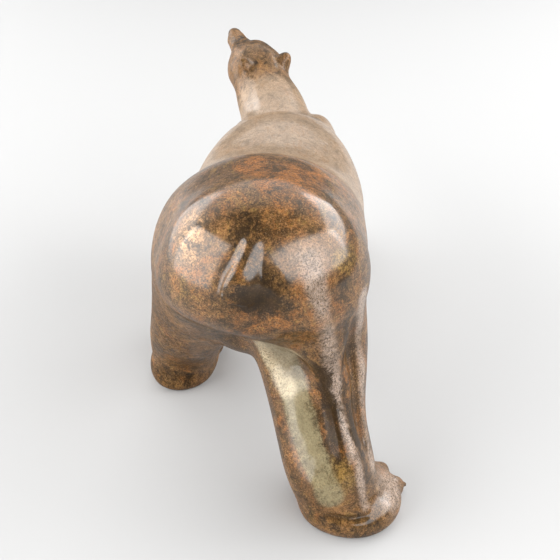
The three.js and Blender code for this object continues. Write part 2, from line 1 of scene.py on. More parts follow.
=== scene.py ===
"""Walking polar bear cast in patinated bronze.

The piece is one fine mesh of a smooth modelled form. Lengths in the form are in
millimetres, with x from tail to nose, y to the animal's left and z up; SHIFT moves
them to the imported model's place, and they become metres at the very end.
"""
import math
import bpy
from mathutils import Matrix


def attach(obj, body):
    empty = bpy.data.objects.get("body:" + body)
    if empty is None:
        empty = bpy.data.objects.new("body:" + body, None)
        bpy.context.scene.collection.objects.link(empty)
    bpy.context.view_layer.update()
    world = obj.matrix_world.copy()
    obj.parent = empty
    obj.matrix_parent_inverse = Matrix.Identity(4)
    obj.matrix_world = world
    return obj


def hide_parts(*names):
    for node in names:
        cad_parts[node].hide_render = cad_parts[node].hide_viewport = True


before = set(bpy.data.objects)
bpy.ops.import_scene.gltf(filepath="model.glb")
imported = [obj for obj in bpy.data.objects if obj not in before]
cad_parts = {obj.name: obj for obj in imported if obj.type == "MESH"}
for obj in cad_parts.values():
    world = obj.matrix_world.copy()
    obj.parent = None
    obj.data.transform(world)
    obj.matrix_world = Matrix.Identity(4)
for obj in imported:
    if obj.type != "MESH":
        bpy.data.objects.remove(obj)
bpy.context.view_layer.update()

from concurrent.futures import ThreadPoolExecutor

import bpy
import numpy as np
from mathutils import Vector

SHIFT = np.array([138.79666484, -2.94096943, 0.0])
LOW = np.array([-84.0, -97.0, -3.0])
HIGH = np.array([368.0, 97.0, 206.0])
CELL = 0.8
TRIANGLES = 188000
pool = ThreadPoolExecutor(4)

# ---------------------------------------------------------------- the form


def natural_spline(t, y, q, flat_ends=False):
    n = len(t)
    h = np.diff(t)
    A = np.zeros((n, n))
    B = np.zeros((n, y.shape[1]))
    A[0, 0] = A[-1, -1] = 1
    if flat_ends:
        A[0, 0], A[0, 1] = 2 * h[0], h[0]
        B[0] = 3 * (y[1] - y[0]) / h[0]
        A[-1, -1], A[-1, -2] = 2 * h[-1], h[-1]
        B[-1] = -3 * (y[-1] - y[-2]) / h[-1]
    for i in range(1, n - 1):
        A[i, i - 1], A[i, i], A[i, i + 1] = h[i - 1], 2 * (h[i - 1] + h[i]), h[i]
        B[i] = 3 * ((y[i + 1] - y[i]) / h[i] - (y[i] - y[i - 1]) / h[i - 1])
    c = np.linalg.solve(A, B)
    i = np.clip(np.searchsorted(t, q, side="right") - 1, 0, n - 2)
    dt = (q - t[i])[:, None]
    hi = h[i][:, None]
    b = (y[i + 1] - y[i]) / hi - hi * (2 * c[i] + c[i + 1]) / 3
    d = (c[i + 1] - c[i]) / (3 * hi)
    return y[i] + b * dt + c[i] * dt**2 + d * dt**3


def chord(r):
    return np.r_[0, np.cumsum(np.linalg.norm(np.diff(r[:, :3], axis=0), axis=1))]


def smin(a, b, k):
    h = np.maximum(k - np.abs(a - b), 0) / k
    return np.minimum(a, b) - h * h * h * k / 6


def smax(a, b, k):
    return -smin(-a, -b, k)


def turn(rx=0, ry=0, rz=0):
    a, b, c = np.radians([rx, ry, rz])
    X = np.array([[1, 0, 0], [0, np.cos(a), -np.sin(a)], [0, np.sin(a), np.cos(a)]])
    Y = np.array([[np.cos(b), 0, np.sin(b)], [0, 1, 0], [-np.sin(b), 0, np.cos(b)]])
    Z = np.array([[np.cos(c), -np.sin(c), 0], [np.sin(c), np.cos(c), 0], [0, 0, 1]])
    return Z @ Y @ X


class Sweep:
    """A limb: rows of x, y, z, half width, height over and height under the axis."""

    def __init__(s, rows, up, cap0, cap1, p=2.0, M=64, pc=None):
        r = np.array(rows, float)
        ch = chord(r)
        q = np.linspace(0, ch[-1], M)
        s.C = natural_spline(ch, r[:, :3], q)
        s.W = natural_spline(ch, r[:, 3:6], q, True)
        T = np.gradient(s.C, axis=0)
        T /= np.linalg.norm(T, axis=1, keepdims=True)
        up = np.array(up, float)
        U = up - (T @ up)[:, None] * T
        U /= np.linalg.norm(U, axis=1, keepdims=True)
        s.ds = np.linalg.norm(np.diff(s.C, axis=0), axis=1).mean()
        s.cap0, s.cap1, s.p, s.M, s.pc, s.T = cap0, cap1, p, M, (pc or p) / p, T
        R = max(s.W.max(), cap0, cap1)
        s.lo, s.hi = s.C.min(0) - R, s.C.max(0) + R
        s.all = np.concatenate([s.C, U, np.cross(T, U), T, s.W], 1)
        s.cc = (s.C**2).sum(1)

    def __call__(s, P):
        i = np.argmin(s.cc[None] - 2 * P @ s.C.T, axis=1)
        along = np.einsum("ij,ij->i", P - s.C[i], s.T[i])
        x = i + along / s.ds
        x0 = np.clip(x, 0, s.M - 1)
        j = np.minimum(x0.astype(int), s.M - 2)
        g = (x0 - j)[:, None]
        A = s.all[j] * (1 - g) + s.all[j + 1] * g
        d = P - A[:, :3]
        u = (d * A[:, 3:6]).sum(1)
        v = (d * A[:, 6:9]).sum(1)
        a = (d * A[:, 9:12]).sum(1)
        w, hu, hd = A[:, 12], A[:, 13], A[:, 14]
        hm = (hu + hd) / 2
        h = hm + (hu - hd) / 2 * np.tanh(u / (0.6 * hm))
        beg, end = x < 0, x > s.M - 1
        cl = np.where(beg, s.cap0, s.cap1)
        c = np.where(beg, np.minimum(a, 0), np.where(end, np.maximum(a, 0), 0)) / cl
        p = s.p
        X, Y, Q = np.abs(v) / w, np.abs(u) / h, np.abs(c)
        Z = Q**s.pc
        dZ = s.pc * Q ** (s.pc - 1) / cl
        k0 = np.maximum((X**p + Y**p + Z**p) ** (1 / p), 0.05)
        e = p - 1
        k1 = np.sqrt(((X / k0) ** e / w) ** 2 + ((Y / k0) ** e / h) ** 2 + ((Z / k0) ** e * dZ) ** 2)
        return np.where(k0 <= 0.05, -np.minimum(w, h) * 0.95, (k0 - 1) / np.maximum(k1, 1e-6))


class Ellipsoid:
    def __init__(s, c, r, rx=0, ry=0, rz=0):
        s.c, s.r, s.R = np.array(c, float), np.array(r, float), turn(rx, ry, rz)
        e = np.sqrt((s.R**2) @ (s.r**2))
        s.lo, s.hi = s.c - e, s.c + e

    def __call__(s, P):
        q = (P - s.c) @ s.R
        k0 = np.maximum(np.linalg.norm(q / s.r, axis=1), 0.05)
        k1 = np.linalg.norm(q / s.r**2, axis=1)
        return np.where(k0 <= 0.05, -s.r.min() * 0.95, k0 * (k0 - 1) / np.maximum(k1, 1e-6))


class Taper:
    def __init__(s, a, b, ra, rb):
        s.a, s.b, s.ra, s.rb = np.array(a, float), np.array(b, float), ra, rb
        R = max(ra, rb)
        s.lo, s.hi = np.minimum(s.a, s.b) - R, np.maximum(s.a, s.b) + R

    def __call__(s, P):
        ba = s.b - s.a
        t = np.clip((P - s.a) @ ba / (ba @ ba), 0, 1)
        return np.linalg.norm(P - s.a - t[:, None] * ba, axis=1) - (s.ra + (s.rb - s.ra) * t)


class Line:
    """A groove (+), a ridge (-) or a flat (facet) that runs along the surface and fades at its ends."""

    def __init__(s, pts, width, depth, kind="soft", fade=0.25, n=24):
        p = np.array(pts, float)
        ch = chord(p)
        if len(p) > 2:
            s.P = natural_spline(ch, p, np.linspace(0, ch[-1], n))
        else:
            s.P = p[0] + (p[1] - p[0]) * np.linspace(0, 1, n)[:, None]
        s.w, s.d, s.kind, s.fade, s.n = width, depth, kind, fade, n
        R = width * (2.4 if kind == "soft" else 1.0) + 1
        s.lo, s.hi = s.P.min(0) - R, s.P.max(0) + R

    def near(s, P):
        return np.all((P > s.lo) & (P < s.hi), axis=1)

    def __call__(s, P):
        A = s.P[:-1]
        D = s.P[1:] - A
        i = np.argmin((s.P**2).sum(1)[None] - 2 * P @ s.P.T, axis=1)
        best = np.full(len(P), 1e9)
        par = np.zeros(len(P))
        for o in (-1, 0):
            j = np.clip(i + o, 0, s.n - 2)
            a, ba = A[j], D[j]
            t = np.clip(((P - a) * ba).sum(1) / (ba * ba).sum(1), 0, 1)
            d = np.linalg.norm(P - a - t[:, None] * ba, axis=1)
            m = d < best
            best = np.where(m, d, best)
            par = np.where(m, (j + t) / (s.n - 1), par)
        f = np.clip(np.minimum(par, 1 - par) / s.fade, 0, 1)
        f = f * f * (3 - 2 * f)
        if s.kind == "soft":
            return s.d * f * np.exp(-((best / s.w) ** 2))
        return s.d * f * np.maximum(1 - (best / s.w) ** 2, 0)


def nearby(prim, P, margin):
    m = np.all((P > prim.lo - margin) & (P < prim.hi + margin), axis=1)
    out = np.empty(len(P))
    if m.any():
        out[m] = prim(P[m])
    n = ~m
    if n.any():
        q = P[n]
        out[n] = np.linalg.norm(np.maximum(np.maximum(prim.lo - q, q - prim.hi), 0), axis=1)
    return out


torso = Sweep([(-4, -3.4, 133.5, 53.8, 48.5, 29.5), (32, -3.4, 127, 56, 49.5, 41), (64, -4.4, 119, 57, 42, 50),
               (84, -6, 113, 57, 41, 47), (106, -8, 108, 56.5, 42, 44), (138, -10, 103, 56, 48, 43),
               (164, -11.5, 100, 53, 49.5, 42), (190, -12, 97, 44, 42, 40), (214, -12, 98, 31.5, 29, 35)],
              (0, 0, 1), 46, 20, pc=2.6)
neck = Sweep([(180, -11, 104, 34, 32, 38), (212, -10, 111, 28, 26, 34), (242, -7, 121, 25, 23.5, 28),
              (268, 0, 129, 23, 20.5, 21.5), (290, 6, 137, 20, 17, 15)], (0, 0, 1), 20, 10)
hind_right = Sweep([(8, -20, 124, 23, 34, 46), (6, -26, 96, 30.5, 31, 25), (-8, -30.5, 66, 28.5, 27, 25),
                    (-23, -34, 43, 25, 22, 24.5), (-36, -40, 22, 24, 19, 25), (-39, -44.5, 10, 22.5, 19, 24)],
                   (1, 0, 0), 20, 12, p=2.3)
hind_left = Sweep([(26, 25, 120, 29, 34, 40), (42, 33.5, 90, 28.5, 32, 34), (57, 43, 60, 24.5, 26, 27),
                   (74, 49.5, 32, 22.5, 22, 21), (81, 53, 12, 20, 20, 20)], (1, 0, 0), 20, 12, p=2.3)
fore_right = Sweep([(184, -28, 98, 22, 28, 32), (196, -35, 78, 22.5, 25, 28), (212, -40, 52, 20.5, 20, 21),
                    (226, -42, 28, 18.5, 18, 18), (231, -43, 12, 19, 18, 17)], (1, 0, 0), 22, 12, p=2.3)
fore_left = Sweep([(176, 8, 98, 22, 28, 32), (175, 17, 78, 22.5, 24, 27), (174, 25, 52, 20.5, 20, 21),
                   (178, 29, 28, 18.5, 18, 18), (182, 30, 12, 19, 18, 17)], (1, 0, 0), 22, 12, p=2.3)
tail = Sweep([(-36, 1.5, 163, 5, 5, 6), (-42, 4, 155, 6.5, 4.5, 6), (-46.5, 6.5, 147, 8.5, 3.6, 5),
              (-48, 8, 141.5, 8.5, 2.2, 3.5)], (-1, 0, 0), 6, 3, p=2.4)
groin = Ellipsoid((20, 8, 84), (20, 16, 16))
seat = Ellipsoid((-6, -24, 110), (28, 28, 22))
blade_right = Ellipsoid((198, -37, 108), (30, 15, 27), rz=-10)
blade_left = Ellipsoid((196, 12, 108), (24, 12, 24), rz=10)


class Paw:
    """A flat-soled pad with five toes on an arc and a short claw on each."""

    def __init__(s, x, y, yaw, L, W, spread=62, toe=8.2, n=5):
        s.c, s.R = np.array([x, y, 0.0]), turn(rz=yaw)
        s.pad, s.toes, s.claws = Ellipsoid((0, 0, 6), (L, W, 15)), [], []
        for i in range(n):
            a = np.radians((i - (n - 1) / 2) / ((n - 1) / 2) * spread)
            o = np.array([(L - 5.5) * np.cos(a), (W - 4.5) * np.sin(a), 6.2])
            d = np.array([np.cos(a * 0.62), np.sin(a * 0.62), 0])
            s.toes.append(Ellipsoid(o, (8.6, toe * 0.68, 7.4), rz=np.degrees(a * 0.62)))
            s.claws.append(Taper(o + d * 6.2 + [0, 0, 0.6], o + d * 10.6 + [0, 0, -2.8], 2.4, 1.3))
        R = max(L, W) + 14
        s.lo, s.hi = s.c - R, s.c + R
        s.lo[2], s.hi[2] = -12, 24

    def __call__(s, P):
        q = (P - s.c) @ s.R
        t = s.toes[0](q)
        for e in s.toes[1:]:
            t = smin(t, e(q), 1.2)
        k = s.claws[0](q)
        for e in s.claws[1:]:
            k = np.minimum(k, e(q))
        return smin(smin(s.pad(q), t, 3.5), k, 1.0)


paws = [Paw(-39, -50.5, -15, 28, 28), Paw(91, 52.5, -10, 33, 22), Paw(246, -45, -4, 28, 24), Paw(196, 31, 6, 28, 24)]


class Head:
    def __init__(s):
        s.c, s.R = np.array([292.0, 7.0, 142.0]), turn(0, -12, 22)
        s.skull = Ellipsoid((-3, 0, 1), (25, 19.5, 16.5))
        s.jaw = Ellipsoid((3, 0, -6), (26, 20.5, 12))
        s.muzzle = Sweep([(8, 0, -1, 15, 13, 12), (26, 0, -1.6, 11.4, 10.6, 10.6), (47, 0, -1.4, 7.8, 7.4, 8.4)],
                         (0, 0, 1), 10, 8)
        s.nose = Ellipsoid((53.4, 0, 2.0), (4.8, 5.0, 4.0))
        s.chin = Ellipsoid((36, 0, -8.4), (12, 6.4, 4.2))
        both = (1, -1)
        s.brow = [Ellipsoid((15, g * 8.5, 9.0), (8, 4.5, 2.8), rz=g * -20) for g in both]
        s.socket = [Ellipsoid((20.2, g * 11.8, 7.4), (2.9, 2.2, 2.0)) for g in both]
        s.eye = [Ellipsoid((19.6, g * 10.7, 7.2), (2.2, 1.8, 1.5)) for g in both]
        s.ear = [Ellipsoid((-15, g * 15.0, 9.5), (5.6, 6.0, 9.2), rx=g * -28) for g in both]
        s.hollow = [Ellipsoid((-10.6, g * 17.4, 13.0), (3.4, 3.6, 6.0), rx=g * -28) for g in both]
        s.nostril = [Ellipsoid((57.4, g * 2.6, 2.4), (2, 1.3, 1.2)) for g in both]
        s.lines = [Line([(55, g * 1, -4.6), (48, g * 7.2, -5.4), (34, g * 11.2, -6.4), (22, g * 15.2, -5)], 1.1, 1.1, fade=0.12)
                   for g in both]
        s.lines.append(Line([(58.3, 0, 0.5), (57, 0, -2.3), (54.8, 0, -4.8)], 0.8, 0.8, fade=0.2))
        s.lo, s.hi = s.c - 72, s.c + 72

    def __call__(s, P):
        q = (P - s.c) @ s.R
        d = smin(s.skull(q), s.jaw(q), 10)
        d = smin(d, s.muzzle(q), 12)
        d = smin(d, s.chin(q), 5)
        for b in s.brow:
            d = smin(d, nearby(b, q, 8), 7)
        for a, b in zip(s.socket, s.eye):
            d = smax(d, -nearby(a, q, 6), 2.4)
            d = smin(d, nearby(b, q, 6), 0.6)
        for e, c in zip(s.ear, s.hollow):
            d = smin(d, nearby(e, q, 10), 3.0)
            d = smax(d, -nearby(c, q, 10), 1.8)
        d = smin(d, nearby(s.nose, q, 6), 4.5)
        for c in s.nostril:
            d = smax(d, -nearby(c, q, 6), 0.8)
        for line in s.lines:
            m = line.near(q)
            if m.any():
                d[m] += line(q[m])
        return d


head = Head()
relief = [
    Line([(-18, -12, 96), (-27, -18, 78), (-41, -26, 52), (-54, -34, 26)], 16, 2.4, "facet", fade=0.26),
    Line([(-38, -30, 120), (-32, -35, 95), (-38, -41, 68)], 12, -8.5, fade=0.5),
    Line([(-47, -27, 146), (-42, -32, 118), (-34, -37, 92), (-43, -44, 58), (-54, -51, 37), (-60, -56, 20)], 6, -2.8, fade=0.2),
    Line([(-30, -46, 128), (-20, -49, 96), (-32, -52, 56), (-48, -58, 22)], 4.2, 2.8, fade=0.25),
    Line([(-24, 6, 98), (-23, -14, 96), (-22, -32, 94)], 9, 2.0, fade=0.4),
    Line([(-58, -31, 15), (-63, -46, 13.5), (-60, -62, 14)], 2.2, 1.5, fade=0.3),
    Line([(-50, 5, 136), (-51, -9, 133)], 7.5, 3.4, fade=0.5, n=8),
    Line([(-46, 18, 130), (-49, 4, 127), (-47, -12, 122)], 8, 1.8, fade=0.5),
    Line([(60, 41, 15), (63, 53, 13), (61, 65, 15)], 2.2, 1.2, fade=0.3),
]
JOINS = [(neck, 22), (hind_right, 28), (hind_left, 34), (groin, 16), (seat, 22), (blade_right, 18), (blade_left, 13),
         (fore_right, 20), (fore_left, 20)] + [(p, 9) for p in paws] + [(head, 14), (tail, 3)]


def form(P):
    s = nearby(torso, P, 40)
    for p, k in JOINS:
        s = smin(s, nearby(p, P, k + 4), k)
    for line in relief:
        m = line.near(P)
        if m.any():
            s[m] += line(P[m])
    return smax(s, -P[:, 2], 2.5)


# the slight unevenness that hand tools leave on the model before casting
rng = np.random.default_rng(7)
WAVES = []
for length, size in ((40, 0.10), (26, 0.06), (17, 0.03), (11, 0.012)):
    for _ in range(5):
        d = rng.normal(size=3)
        WAVES.append((d / np.linalg.norm(d) * 2 * np.pi / length, rng.uniform(0, 6.28), size / 2.2))


def worked(P):
    s = form(P)
    fade = np.clip(P[:, 2] / 12, 0, 1) * np.clip((330 - P[:, 0]) / 50, 0.25, 1)
    n = np.zeros(len(P))
    for k, a, size in WAVES:
        n += size * np.sin(P @ k + a)
    return s - n * fade


def in_parts(fn, P, size=30000):
    parts = [P[i:i + size] for i in range(0, len(P), size)]
    return np.concatenate(list(pool.map(fn, parts)))


def slope(fn, P, e=0.35):
    out = np.empty_like(P)
    for k in range(3):
        d = np.zeros(3)
        d[k] = e
        out[:, k] = (in_parts(fn, P + d) - in_parts(fn, P - d)) / (2 * e)
    return out


# ---------------------------------------------------------------- its mesh


def sampled():
    """The form on a fine grid: true values near the surface, one value per block elsewhere."""
    B = 8
    nb = np.ceil((HIGH - LOW) / (CELL * B)).astype(int)
    n = nb * B
    bi = np.stack(np.meshgrid(*[np.arange(k) for k in nb], indexing="ij"), -1).reshape(-1, 3)
    mid = LOW + (bi + 0.5) * B * CELL
    val = in_parts(form, mid, 8000)
    F = np.empty(tuple(n + 1), np.float32)
    blocks = val.reshape(nb).astype(np.float32)
    F[:-1, :-1, :-1] = blocks.repeat(B, 0).repeat(B, 1).repeat(B, 2)
    F[-1], F[:, -1], F[:, :, -1] = 50, 50, 50
    near = np.abs(val) < 1.5 * 0.87 * B * CELL
    bi, mid = bi[near], mid[near]
    fine = (mid[:, 0] > 244) | (mid[:, 2] < 30) | ((mid[:, 0] < -30) & (mid[:, 2] > 120) & (np.abs(mid[:, 1] - 3) < 30))

    def corners(block, step):
        k = B // step + 1
        o = np.stack(np.meshgrid(*[np.arange(k) * step] * 3, indexing="ij"), -1).reshape(-1, 3)
        return (LOW + (block[:, None] * B + o[None]) * CELL).reshape(-1, 3), k

    def up(v):
        for ax in (1, 2, 3):
            v = np.moveaxis(v, ax, 1)
            w = np.empty((v.shape[0], v.shape[1] * 2 - 1) + v.shape[2:], v.dtype)
            w[:, ::2] = v
            w[:, 1::2] = (v[:, 1:] + v[:, :-1]) / 2
            v = np.moveaxis(w, 1, ax)
        return v

    for chosen, step in ((bi[~fine], 2), (bi[fine], 1)):
        size = 60
        groups = [chosen[i:i + size] for i in range(0, len(chosen), size)]

        def work(g):
            P, k = corners(g, step)
            v = form(P).reshape(len(g), k, k, k)
            return up(v) if step == 2 else v

        for g, v in zip(groups, pool.map(work, groups)):
            for b, q in zip(g * B, v):
                F[b[0]:b[0] + B + 1, b[1]:b[1] + B + 1, b[2]:b[2] + B + 1] = q
    return F


def surface(F):
    """One vertex in each cell that the surface crosses, one quad round each edge that it crosses."""
    inside = F < 0
    c = np.zeros(tuple(k - 1 for k in F.shape), np.uint8)
    corner = [(a, b, d) for a in (0, 1) for b in (0, 1) for d in (0, 1)]
    for a, b, d in corner:
        c += inside[a:F.shape[0] - 1 + a, b:F.shape[1] - 1 + b, d:F.shape[2] - 1 + d]
    cells = np.argwhere((c > 0) & (c < 8))
    del c
    number = np.full(tuple(k - 1 for k in F.shape), -1, np.int32)
    number[cells[:, 0], cells[:, 1], cells[:, 2]] = np.arange(len(cells))
    v = np.stack([F[cells[:, 0] + a, cells[:, 1] + b, cells[:, 2] + d] for a, b, d in corner], 1).astype(float)
    pos = np.zeros((len(cells), 3))
    cnt = np.zeros(len(cells))
    for i in range(8):
        for j in range(i + 1, 8):
            a, b = np.array(corner[i]), np.array(corner[j])
            if np.abs(a - b).sum() != 1:
                continue
            m = (v[:, i] < 0) != (v[:, j] < 0)
            t = v[m, i] / (v[m, i] - v[m, j])
            pos[m] += a + t[:, None] * (b - a)
            cnt[m] += 1
    P = LOW + (cells + pos / cnt[:, None]) * CELL
    quads = []
    for ax in range(3):
        o1, o2 = (ax + 1) % 3, (ax + 2) % 3
        lo = [slice(None)] * 3
        hi = [slice(None)] * 3
        lo[ax], hi[ax] = slice(0, -1), slice(1, None)
        cross = inside[tuple(lo)] ^ inside[tuple(hi)]
        at = np.argwhere(cross)
        n = np.array(number.shape)
        at = at[(at[:, o1] > 0) & (at[:, o2] > 0) & (at[:, o1] < n[o1]) & (at[:, o2] < n[o2])]
        ring = []
        for s1, s2 in ((1, 1), (0, 1), (0, 0), (1, 0)):
            q = at.copy()
            q[:, o1] -= s1
            q[:, o2] -= s2
            ring.append(number[q[:, 0], q[:, 1], q[:, 2]])
        ring = np.stack(ring, 1)
        starts_in = inside[at[:, 0], at[:, 1], at[:, 2]]
        ring[~starts_in] = ring[~starts_in][:, ::-1]
        quads.append(ring)
    return P, np.concatenate(quads)


def biggest(P, quads):
    """Only the outer skin, the largest connected part."""
    label = np.arange(len(P))
    e = np.concatenate([quads[:, [0, 1]], quads[:, [1, 2]], quads[:, [2, 3]]])
    while True:
        low = np.minimum(label[e[:, 0]], label[e[:, 1]])
        new = label.copy()
        np.minimum.at(new, label[e[:, 0]], low)
        np.minimum.at(new, label[e[:, 1]], low)
        while True:
            nxt = new[new]
            if (nxt == new).all():
                break
            new = nxt
        if (new == label).all():
            break
        label = new
    keep = label == np.bincount(label).argmax()
    quads = quads[keep[quads[:, 0]]]
    order = np.cumsum(keep) - 1
    return P[keep], order[quads]


def mesh_from(name, P, faces):
    me = bpy.data.meshes.new(name)
    me.vertices.add(len(P))
    me.vertices.foreach_set("co", np.asarray(P, np.float32).ravel())
    k = faces.shape[1]
    me.loops.add(faces.size)
    me.loops.foreach_set("vertex_index", np.asarray(faces, np.int32).ravel())
    me.polygons.add(len(faces))
    me.polygons.foreach_set("loop_start", np.arange(0, faces.size, k, dtype=np.int32))
    me.polygons.foreach_set("loop_total", np.full(len(faces), k, np.int32))
    me.update(calc_edges=True)
    me.validate()
    return me


def settled(P, rounds=3):
    """Moves each vertex onto the worked surface, along the surface's own slope."""
    g = slope(worked, P)
    g /= np.maximum((g**2).sum(1, keepdims=True), 0.05)
    for _ in range(rounds):
        step = in_parts(worked, P)[:, None] * g
        far = np.linalg.norm(step, axis=1, keepdims=True)
        P = P - step * np.minimum(1, 0.6 / np.maximum(far, 1e-9))
    return P


P, quads = surface(sampled())
P, quads = biggest(P, quads)
rough = mesh_from("rough", P, quads)
holder = bpy.data.objects.new("rough", rough)
bpy.context.scene.collection.objects.link(holder)
thin = holder.modifiers.new("thin", "DECIMATE")
thin.ratio = min(1.0, TRIANGLES / (2 * len(quads)))
mesh = bpy.data.meshes.new_from_object(holder.evaluated_get(bpy.context.evaluated_depsgraph_get()))
bpy.data.objects.remove(holder)
bpy.data.meshes.remove(rough)
P = np.empty(len(mesh.vertices) * 3, np.float32)
mesh.vertices.foreach_get("co", P)
P = settled(P.reshape(-1, 3).astype(float))
normal = slope(worked, P, 0.25)
normal /= np.maximum(np.linalg.norm(normal, axis=1, keepdims=True), 1e-9)
where = (P - SHIFT) / 1000
mesh.vertices.foreach_set("co", where.astype(np.float32).ravel())
mesh.update()
mesh.polygons.foreach_set("use_smooth", np.ones(len(mesh.polygons), bool))
mesh.normals_split_custom_set_from_vertices(normal.tolist())

# ---------------------------------------------------------------- where the patina changes, and where shade and highlights are painted


def around(P, c, r):
    """1 at a place, falling softly to 0 at about twice the radii."""
    q = (P - np.array(c, float)) / np.array(r, float)
    return np.exp(-(q**2).sum(1))


def along(P, points, r):
    """1 on a line drawn over the skin, falling softly to 0 beside it."""
    p = np.array(points, float)
    best = np.full(len(P), 1e9)
    for a, b in zip(p[:-1], p[1:]):
        t = np.clip((P - a) @ (b - a) / ((b - a) @ (b - a)), 0, 1)
        best = np.minimum(best, ((P - a - t[:, None] * (b - a)) ** 2).sum(1))
    return np.exp(-best / r**2)


def step(v, lo, hi):
    t = np.clip((v - lo) / (hi - lo), 0, 1)
    return t * t * (3 - 2 * t)


def attribute(name, values):
    a = mesh.attributes.new(name, "FLOAT", "POINT")
    a.data.foreach_set("value", np.asarray(values, np.float32))


# how hollow (-) or proud (+) the form is, at two sizes
def bulge(P, size):
    m = np.zeros(len(P))
    for k in range(3):
        d = np.zeros(3)
        d[k] = size
        m += in_parts(form, P + d) + in_parts(form, P - d)
    return m / 6 / size


attribute("bulge_small", bulge(P, 2.0))
attribute("bulge_large", bulge(P, 7.0))

x, y, z = P.T
# painted shade: darker under the tail and the rump, in the grooves down the right hind leg, in the withers crease, in
# the ear hollows, on the left hind leg and between the legs; the nose and a few patches are dark patina of the bronze
attribute("zone_painted_shade_and_dark_patina", np.clip(
    0.8 * around(P, (-50, 0, 141), (13, 15, 8)) + 0.62 * along(P, [(-34, 3, 172), (-44, -1, 158), (-50, -3, 142)], 10)
    + 0.95 * along(P, [(-34, -31, 102), (-36, -35, 78), (-44, -39, 56), (-48, -42, 46)], 6)
    + 0.9 * along(P, [(-38, -41, 138), (-31, -43.5, 118), (-28, -45, 96), (-38, -49, 62), (-51, -56, 30)], 3.6)
    + 0.8 * around(P, (-38, -42, 145), (5, 7, 4)) + 0.5 * around(P, (-30, -4, 105), (16, 16, 14))
    + 0.7 * around(P, (8, 38, 166), (14, 5, 8)) + 0.5 * around(P, (75, 52, 10), (30, 30, 9))
    + 0.45 * around(P, (50, 40, 60), (34, 30, 30)) + 0.5 * around(P, (-30, 8, 160), (10, 5, 12))
    + 0.55 * step(x, 286, 300) * (1 - step(x, 322, 336)) * step(z, 146, 154) + 0.9 * around(P, (344, 28, 156), (9, 9, 9))
    + 0.9 * along(P, [(194, 13, 142), (206, 5, 145), (215, -2, 145)], 4)
    + 0.9 * around(P, head.c + head.R @ (-18, 8.6, 14), (3.5, 2.2, 4)) + 0.6 * around(P, head.c + head.R @ (-21, 15, 4), (3, 3, 3))
    + 0.8 * around(P, head.c + head.R @ (-12, -19, 16), (6, 5, 6)) + 0.55 * around(P, (188, -34, 137), (14, 8, 8))
    + 0.5 * around(P, (-62, -46, 10), (9, 22, 5)) + 0.6 * around(P, (-28, 8, 62), (12, 6, 8)), 0, 1))
attribute("wax", np.clip(0.50 + 0.50 * step(z, 112, 138) + 0.4 * step(-y, 50, 58) * step(z, 8, 20) - 0.3 * step(y, 38, 46) - 0.7 * step(x, 222, 252) + 0.32 * around(P, (-36, -20, 66), (22, 14, 34)), 0, 1)
          * (1 - 0.75 * np.clip(around(P, (-50, 0, 139), (14, 17, 9))
                                + along(P, [(-34, -31, 102), (-36, -35, 78), (-44, -39, 56), (-48, -42, 46)], 5), 0, 1)))
attribute("zone_orange", np.clip(
    0.5 * around(P, (204, -14, 142), (16, 22, 10)) + 0.4 * around(P, (252, -8, 146), (14, 12, 12))
    + 0.9 * around(P, (5, -14, 178), (34, 32, 16)) + 0.5 * around(P, (-30, 28, 150), (20, 14, 16))
    + 0.45 * around(P, (64, 46, 66), (24, 26, 20)) + 0.5 * around(P, (-34, -32, 80), (10, 5, 16))
    + 0.35 * around(P, (-10, -52, 120), (18, 10, 24)), 0, 1))
attribute("zone_ochre", np.clip(
    0.9 * around(P, (-32, -40, 152), (10, 9, 9)) + 0.7 * around(P, (-30, 34, 140), (16, 14, 14))
    + 0.6 * around(P, (-48, 2, 150), (8, 6, 8)) + 0.9 * around(P, (-54, -44, 36), (9, 9, 14))
    + 0.6 * around(P, (-52, -40, 10), (14, 26, 12)) + 0.4 * around(P, (-40, -10, 118), (10, 14, 12)), 0, 1))
# painted sheen, partly patina: paler tan over the top of the back, the shoulders and the neck, with a weaker band lower
# on the front half of the flank
attribute("zone_pale_painted_sheen", np.clip(
    step(x, 48, 96) * (1 - 0.5 * step(x, 220, 258) - 0.2 * step(x, 250, 268)) * step(z, 92, 126)
    + 0.5 * step(x, 110, 150) * step(z, 60, 95) * (1 - step(x, 226, 262)), 0, 1))
# painted highlight: a pale sage band down the flat of the right hind leg, the colour of the softbox reflection there
attribute("zone_green_painted_highlight", np.clip(
    1.1 * along(P, [(-20, -9, 95), (-27, -16, 80), (-36, -21, 62), (-46, -29, 44), (-56, -38, 26)], 8.5)
    * (1 - 0.5 * step(y, -30, -38) * step(z, 40, 60)), 0, 1))
# painted highlight: cream on the upper left of the rump, where the left softbox is mirrored
attribute("zone_cream_painted_highlight", np.clip(0.95 * around(P, (-26, 31, 163), (17, 10, 17)), 0, 1))
# painted highlight: pale bone at the top of the flat of the right hind leg, and paler on the left ear
attribute("zone_bone_painted_highlight", np.clip(
    0.4 * around(P, head.c + head.R @ (-20, 15.5, 12), (4, 3.5, 5)) + along(P, [(-17, -4, 90), (-27, -17, 96)], 9) + 0.8 * along(P, [(-22, -9, 82), (-28, -15, 72)], 8), 0, 1))
# painted highlight: pale lilac-grey down the ridge and along the outer rim of the right hind leg, over the right of the
# rump and at the right heel, where the right softboxes are mirrored
attribute("zone_lilac_painted_highlight", np.clip(
    0.72 * along(P, [(-46, -28, 148), (-44, -31, 130), (-38, -35, 108), (-36, -39, 84)], 7)
    + 0.8 * along(P, [(-36, -40, 80), (-44, -46, 56), (-56, -54, 34), (-61, -57, 20)], 4)
    + 0.6 * around(P, (-38, -24, 158), (10, 16, 11))
    + 0.9 * along(P, [(-28, -53, 130), (-16, -55, 104), (-18, -57, 80), (-31, -60, 54), (-43, -64, 34)], 6)
    + 0.8 * around(P, (-44, -72, 16), (22, 12, 14)), 0, 1))

print("mesh", len(mesh.vertices), "vertices", len(mesh.polygons), "faces")
bear = bpy.data.objects.new("polar_bear_bronze", mesh)
bpy.context.scene.collection.objects.link(bear)
